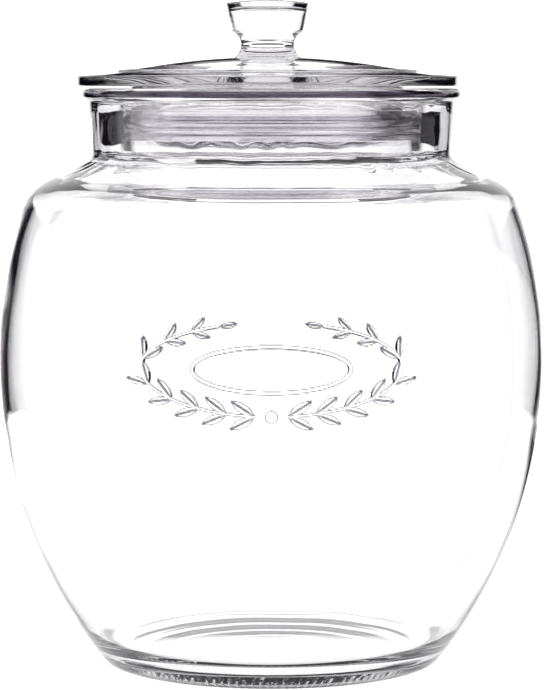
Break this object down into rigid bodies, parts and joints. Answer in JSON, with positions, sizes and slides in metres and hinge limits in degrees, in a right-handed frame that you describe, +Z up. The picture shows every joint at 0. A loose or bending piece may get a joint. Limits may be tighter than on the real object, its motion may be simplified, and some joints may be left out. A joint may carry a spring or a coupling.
{
  "type": "glass storage jar",
  "caption": "Barrel-shaped clear glass storage jar with a thick neck, a push-in glass lid with a knob, and a ribbed seal between them.",
  "frame": {"origin": "middle of the base, on the surface that the jar stands on", "axes": "+Z up along the jar's axis, -Y towards the front with the raised ornament"},
  "size_m": [0.1952, 0.196, 0.2373],
  "materials": {
    "clear_glass": "clear, fire-polished",
    "silicone": "translucent, satin"
  },
  "bodies": {
    "root": {"jar": "clear_glass", "lid": "clear_glass", "seal": "silicone"}
  },
  "joints": []
}
